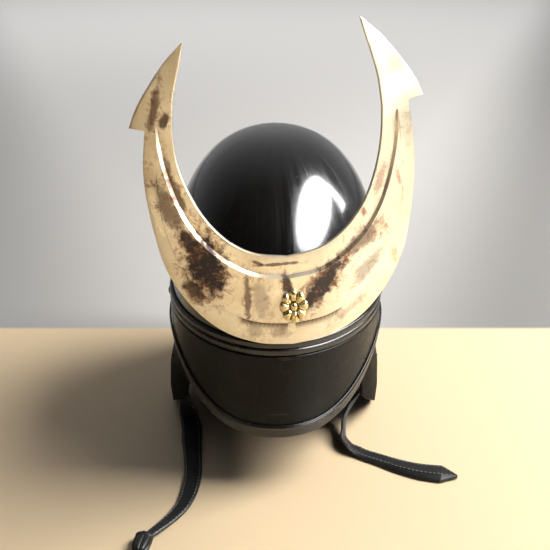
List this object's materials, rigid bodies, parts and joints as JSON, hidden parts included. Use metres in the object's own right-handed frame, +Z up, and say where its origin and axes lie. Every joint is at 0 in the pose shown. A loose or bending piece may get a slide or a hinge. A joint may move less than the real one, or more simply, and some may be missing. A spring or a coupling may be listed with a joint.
{
  "type": "kabuto samurai helmet",
  "caption": "Black kabuto helmet with a smooth bowl, leather peak, neck guard, ear flaps and chin straps, and a tall ivory-gold crescent crest with barbed horns and a flower rosette.",
  "frame": {"origin": "on the resting surface, under the middle of the helmet's bounding box", "axes": "+Z up, the peak and crest face -Y, +X is the right side as seen from the front (the wearer's left)"},
  "size_m": [0.2736, 0.3506, 0.3817],
  "materials": {
    "lacquered_bowl": "gloss",
    "black_leather": "semi-gloss",
    "crest_ivory_gold": "satin, aged",
    "antique_gold": "antique",
    "dark_steel": "satin black"
  },
  "bodies": {
    "root": {"bowl": "lacquered_bowl", "brow_bead": "black_leather", "peak": "black_leather", "peak_rim": "black_leather", "neck_guard": "black_leather", "crescent": "crest_ivory_gold", "crescent_post": "dark_steel", "rosette": "antique_gold", "ear_flap_left": "black_leather", "ear_flap_right": "black_leather", "stud_left": "dark_steel", "stud_right": "dark_steel", "flap_rivet_left": "dark_steel", "flap_rivet_right": "dark_steel", "strap_left": "black_leather", "strap_left_knot": "black_leather", "strap_right": "black_leather"}
  },
  "joints": []
}
